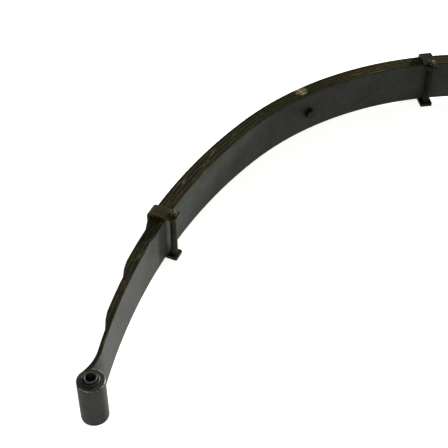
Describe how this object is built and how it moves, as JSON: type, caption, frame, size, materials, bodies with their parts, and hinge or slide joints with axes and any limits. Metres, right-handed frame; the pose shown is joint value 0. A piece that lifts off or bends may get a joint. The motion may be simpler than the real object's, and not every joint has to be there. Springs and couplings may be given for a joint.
{
  "type": "leaf spring",
  "caption": "Semi-elliptic leaf spring: curved steel leaves held by a centre bolt and two strap clips, with a rubber-bushed rolled eye at each end.",
  "frame": {"origin": "where the centre bolt's axis meets the concave face of the main leaf, at mid-width, under the bolt's round head", "axes": "+X along the leaves at the centre bolt, towards the short arm; +Y along the centre bolt, out of the convex side; +Z across the leaf width, parallel to both eye bores, up as the spring lies on its side"},
  "size_m": [0.9835, 0.3152, 0.0812],
  "materials": {
    "leaf_paint": "satin",
    "clip_paint": "satin",
    "fastener_paint": "satin",
    "bush_rubber": "matte",
    "shell_steel": "satin",
    "sleeve_steel": "satin"
  },
  "bodies": {
    "spring": {"main_leaf": "leaf_paint", "second_leaf": "leaf_paint", "third_leaf": "leaf_paint", "fourth_leaf": "leaf_paint", "centre_bolt": "fastener_paint", "centre_bolt_nut": "fastener_paint", "left_bush_shell": "shell_steel", "left_bush_rubber": "bush_rubber", "left_clip_strap": "clip_paint", "left_clip_rivet": "fastener_paint", "left_clip_bolt": "fastener_paint", "left_clip_nut": "fastener_paint", "right_bush_shell": "shell_steel", "right_bush_rubber": "bush_rubber", "right_clip_strap": "clip_paint", "right_clip_rivet": "fastener_paint", "right_clip_bolt": "fastener_paint", "right_clip_nut": "fastener_paint"},
    "left_sleeve": {"left_bush_sleeve": "sleeve_steel"},
    "left_tube": {"left_clip_tube": "clip_paint"},
    "right_sleeve": {"right_bush_sleeve": "sleeve_steel"},
    "right_tube": {"right_clip_tube": "clip_paint"}
  },
  "joints": [
    {"name": "left_bush_twist", "type": "hinge", "parent": "spring", "child": "left_sleeve", "pos_m": [-0.52073, -0.26573, 0], "axis": [0, 0, 1], "range_deg": [-20, 20], "stiffness_Nm_per_rad": 80},
    {"name": "right_bush_twist", "type": "hinge", "parent": "spring", "child": "right_sleeve", "pos_m": [0.42978, -0.2272, 0], "axis": [0, 0, 1], "range_deg": [-20, 20], "stiffness_Nm_per_rad": 80},
    {"name": "left_tube_spin", "type": "hinge", "parent": "spring", "child": "left_tube", "pos_m": [-0.30258, -0.10086, 0], "axis": [0, 0, 1], "continuous": true},
    {"name": "right_tube_spin", "type": "hinge", "parent": "spring", "child": "right_tube", "pos_m": [0.19011, -0.05097, 0], "axis": [0, 0, 1], "continuous": true}
  ]
}
